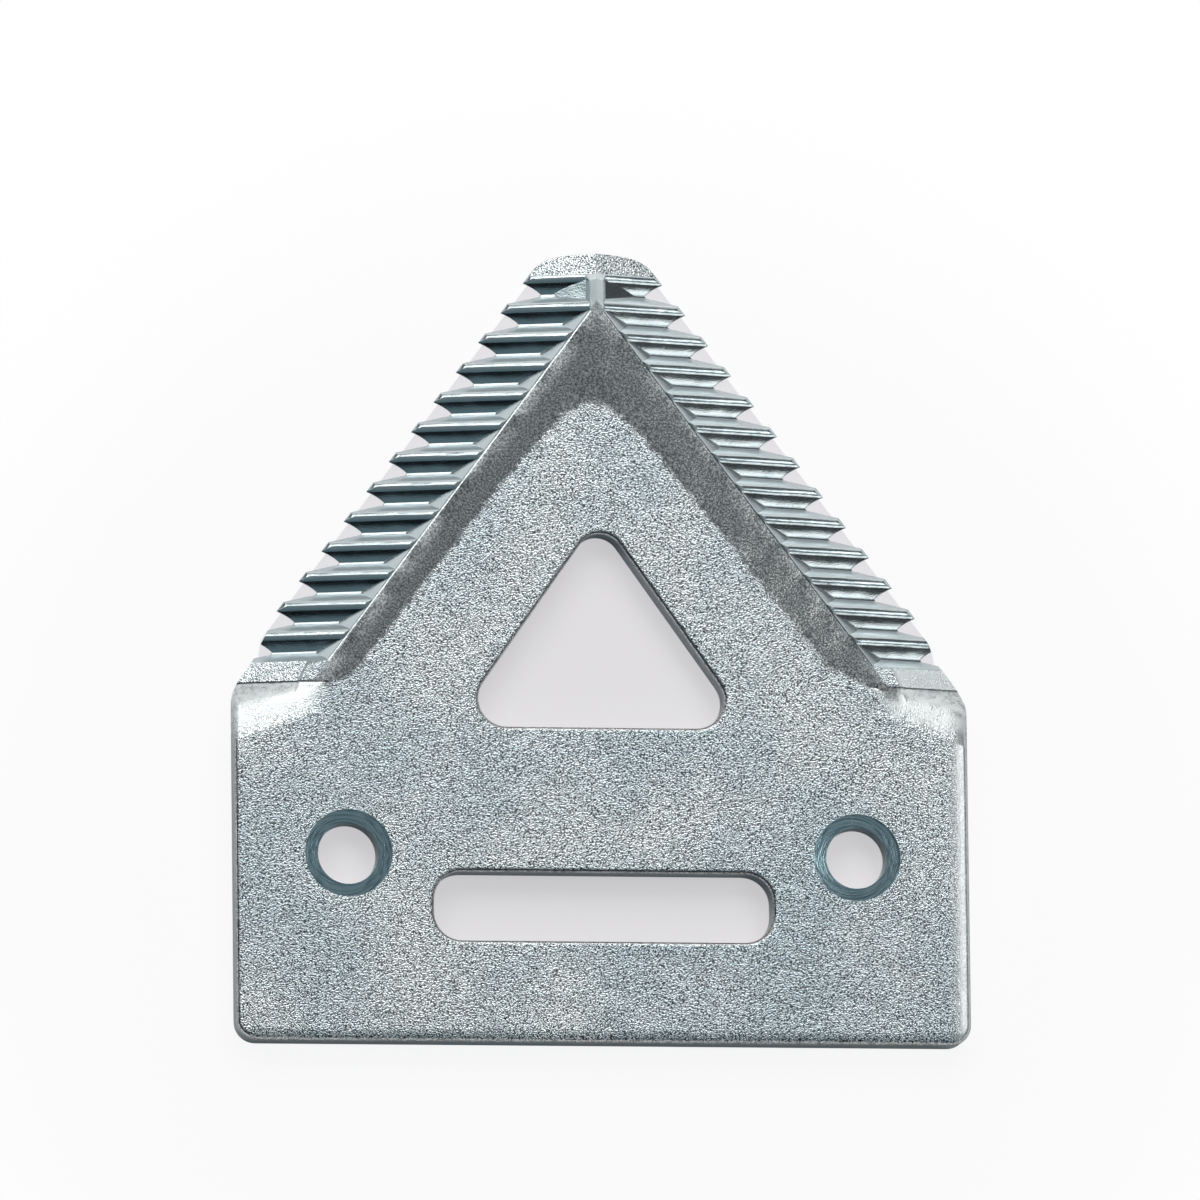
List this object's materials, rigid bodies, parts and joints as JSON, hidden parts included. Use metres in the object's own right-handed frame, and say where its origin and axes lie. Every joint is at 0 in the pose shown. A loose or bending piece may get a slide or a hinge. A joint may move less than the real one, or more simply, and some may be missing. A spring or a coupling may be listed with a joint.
{
  "type": "sickle section",
  "caption": "Flat steel knife section for a mower or combine cutter bar, with serrated bevelled edges, a triangular window, a slot and bolt holes.",
  "frame": {"origin": "midway between the two bolt holes, on the underside that rests on the knife back", "axes": "+Z out of the serrated upper face, +Y towards the tip, +X along the line of the bolt holes"},
  "size_m": [0.0762, 0.0823, 0.003],
  "materials": {
    "zinc_plated_steel": "bright zinc plate with a pale blue passivation over grit-blasted forged steel; ground smooth on the band beside the serrations and in the bolt recesses"
  },
  "bodies": {
    "root": {"sickle_section": "zinc_plated_steel"}
  },
  "joints": []
}
